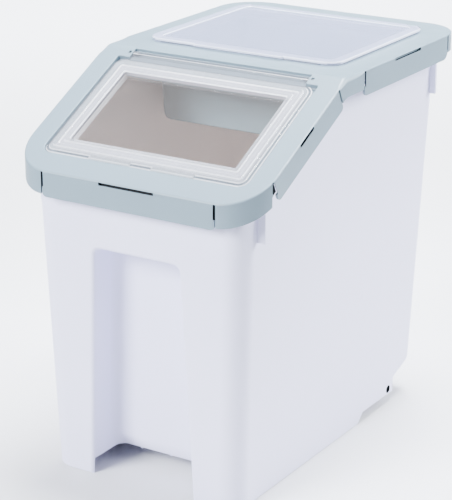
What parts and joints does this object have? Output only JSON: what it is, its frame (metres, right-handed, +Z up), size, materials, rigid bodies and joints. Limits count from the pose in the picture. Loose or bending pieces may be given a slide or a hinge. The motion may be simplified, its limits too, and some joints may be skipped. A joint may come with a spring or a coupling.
{
  "type": "pet food bin",
  "caption": "Rolling pet food bin: tapered tub under a folded clip-down lid with a clear sloping scoop door and a clear-covered treat tray in its deck.",
  "frame": {"origin": "centre of the footprint, on the floor", "axes": "+Z up, +X to the bin's right seen from the front, +Y from the sloping front towards the wheels"},
  "size_m": [0.25, 0.385, 0.3655],
  "materials": {
    "tub": "satin moulded polypropylene",
    "lid": "satin moulded polypropylene",
    "clear": "clear polished styrene",
    "seal": "soft translucent white silicone",
    "wheel": "satin",
    "steel": "drawn rod"
  },
  "bodies": {
    "tub": {"tub": "tub", "axle": "steel"},
    "lid": {"lid_frame": "lid", "lid_seal": "seal", "treat_tray": "lid", "door_hinge_pin_left": "steel", "door_hinge_pin_right": "steel", "cover_hinge_pin_left": "steel", "cover_hinge_pin_right": "steel"},
    "front_door": {"front_door": "clear", "front_door_seal": "seal"},
    "rear_cover": {"rear_cover": "clear", "rear_cover_seal": "seal"},
    "front_latch": {"front_latch": "lid"},
    "rear_latch": {"rear_latch": "lid"},
    "left_slope_latch": {"left_slope_latch": "lid"},
    "right_slope_latch": {"right_slope_latch": "lid"},
    "left_deck_latch": {"left_deck_latch": "lid"},
    "right_deck_latch": {"right_deck_latch": "lid"},
    "wheel_left": {"wheel_left": "wheel"},
    "wheel_right": {"wheel_right": "wheel"}
  },
  "joints": [
    {"name": "lid_lift", "type": "slide", "parent": "tub", "child": "lid", "axis": [0, 0, 1], "range_m": [0, 0.1]},
    {"name": "front_door_hinge", "type": "hinge", "parent": "lid", "child": "front_door", "pos_m": [0, -0.04556, 0.35623], "axis": [-1, 0, 0], "range_deg": [0, 110]},
    {"name": "rear_cover_hinge", "type": "hinge", "parent": "lid", "child": "rear_cover", "pos_m": [0, 0.1575, 0.36365], "axis": [-1, 0, 0], "range_deg": [0, 110]},
    {"name": "front_latch_hinge", "type": "hinge", "parent": "lid", "child": "front_latch", "pos_m": [0, -0.1925, 0.2821], "axis": [-1, 0, 0], "range_deg": [0, 110]},
    {"name": "rear_latch_hinge", "type": "hinge", "parent": "lid", "child": "rear_latch", "pos_m": [0, 0.1925, 0.3591], "axis": [1, 0, 0], "range_deg": [0, 110]},
    {"name": "left_slope_latch_hinge", "type": "hinge", "parent": "lid", "child": "left_slope_latch", "pos_m": [-0.125, -0.107, 0.32527], "axis": [0, 0.8927, 0.4507], "range_deg": [0, 110]},
    {"name": "left_deck_latch_hinge", "type": "hinge", "parent": "lid", "child": "left_deck_latch", "pos_m": [-0.125, 0.0738, 0.3591], "axis": [0, 1, 0], "range_deg": [0, 110]},
    {"name": "right_slope_latch_hinge", "type": "hinge", "parent": "lid", "child": "right_slope_latch", "pos_m": [0.125, -0.107, 0.32527], "axis": [0, -0.8927, -0.4507], "range_deg": [0, 110]},
    {"name": "right_deck_latch_hinge", "type": "hinge", "parent": "lid", "child": "right_deck_latch", "pos_m": [0.125, 0.0738, 0.3591], "axis": [0, -1, 0], "range_deg": [0, 110]},
    {"name": "wheel_left_spin", "type": "hinge", "parent": "tub", "child": "wheel_left", "pos_m": [-0.071, 0.1052, 0.015], "axis": [1, 0, 0], "continuous": true},
    {"name": "wheel_right_spin", "type": "hinge", "parent": "tub", "child": "wheel_right", "pos_m": [0.071, 0.1052, 0.015], "axis": [1, 0, 0], "continuous": true}
  ]
}
